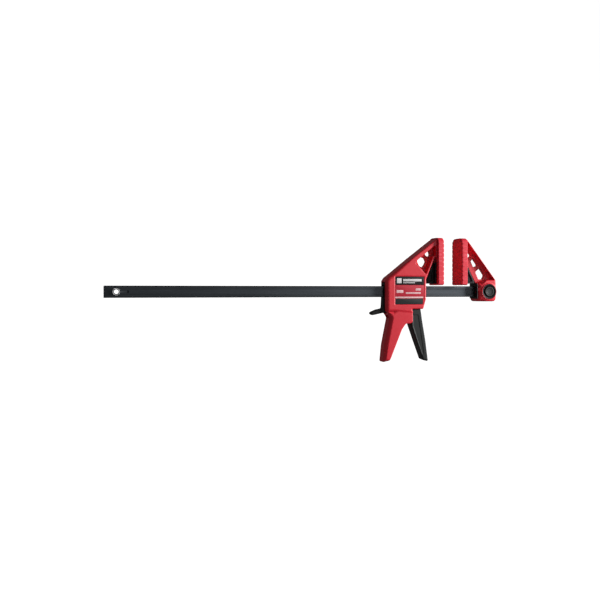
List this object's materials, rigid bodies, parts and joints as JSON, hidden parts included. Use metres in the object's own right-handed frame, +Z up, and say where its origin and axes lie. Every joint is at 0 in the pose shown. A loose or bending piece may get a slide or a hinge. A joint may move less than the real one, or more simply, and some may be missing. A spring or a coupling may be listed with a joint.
{
  "type": "trigger bar clamp",
  "caption": "One-handed quick-release bar clamp: steel bar, fixed jaw with a lock button, pistol-grip sliding jaw with trigger and release lever, soft pads.",
  "frame": {"origin": "centre of the fixed pad's clamping face", "axes": "+X along the bar from the sliding jaw to the fixed jaw, +Y towards the side with the shell screws, +Z up from the bar to the jaw tips"},
  "size_m": [0.673, 0.037, 0.2153],
  "materials": {
    "red_plastic": "moulded red plastic, satin gloss with a fine texture",
    "red_pad": "soft red rubber with a diamond pattern",
    "black_plastic": "moulded black plastic, satin",
    "grey_plastic": "moulded charcoal plastic, matt",
    "bar_steel": "blackened steel, rolled, satin",
    "bright_steel": "zinc-plated steel",
    "spring_steel": "oiled spring wire"
  },
  "bodies": {
    "bar_assembly": {"bar": "bar_steel", "stop_pin": "bar_steel", "fixed_jaw": "red_plastic", "fixed_pad_carrier": "black_plastic", "fixed_bar_guide": "black_plastic", "fixed_pad": "red_pad", "button_collar": "black_plastic"},
    "lock_button": {"button_cap": "grey_plastic", "lock_pin": "bright_steel", "lock_pin_clip": "spring_steel", "button_spring": "spring_steel"},
    "sliding_jaw": {"near_shell": "red_plastic", "far_shell": "red_plastic", "shell_screw_1": "bright_steel", "shell_screw_2": "bright_steel", "shell_screw_3": "bright_steel", "shell_screw_4": "bright_steel", "near_name_plate": "black_plastic", "far_name_plate": "black_plastic", "near_side_insert": "grey_plastic", "far_side_insert": "grey_plastic", "sliding_pad_carrier": "black_plastic", "sliding_pad": "red_pad", "trigger_pin": "bright_steel", "lever_pin": "bright_steel"},
    "trigger": {"trigger": "grey_plastic"},
    "drive": {"drive_plate_front": "bright_steel", "drive_plate_rear": "bright_steel", "drive_spring": "spring_steel"},
    "brake": {"release_lever": "black_plastic", "brake_plate": "bright_steel", "brake_spring": "spring_steel"}
  },
  "joints": [
    {"name": "jaw_slide", "type": "slide", "parent": "bar_assembly", "child": "sliding_jaw", "axis": [1, 0, 0], "range_m": [-0.43, 0.0338]},
    {"name": "lock_button_press", "type": "slide", "parent": "bar_assembly", "child": "lock_button", "axis": [0, 1, 0], "range_m": [0, 0.004], "stiffness_N_per_m": 1200, "springref_m": -0.003, "deforming": ["button_spring"]},
    {"name": "trigger_squeeze", "type": "hinge", "parent": "sliding_jaw", "child": "trigger", "pos_m": [-0.086, 0, -0.03675], "axis": [0, 1, 0], "range_deg": [0, 23], "stiffness_Nm_per_rad": 1, "springref_deg": -20.05},
    {"name": "drive_stroke", "type": "slide", "parent": "sliding_jaw", "child": "drive", "axis": [-1, 0, 0], "range_m": [0, 0.013], "deforming": ["drive_spring"]},
    {"name": "brake_release", "type": "hinge", "parent": "sliding_jaw", "child": "brake", "pos_m": [-0.135, 0, -0.07875], "axis": [0, -1, 0], "range_deg": [0, 7.5], "stiffness_Nm_per_rad": 0.8, "springref_deg": -14.32, "deforming": ["brake_spring"]}
  ],
  "couplings": [
    {"joint": "drive_stroke", "follows": "trigger_squeeze", "m_per_rad": 0.031}
  ]
}
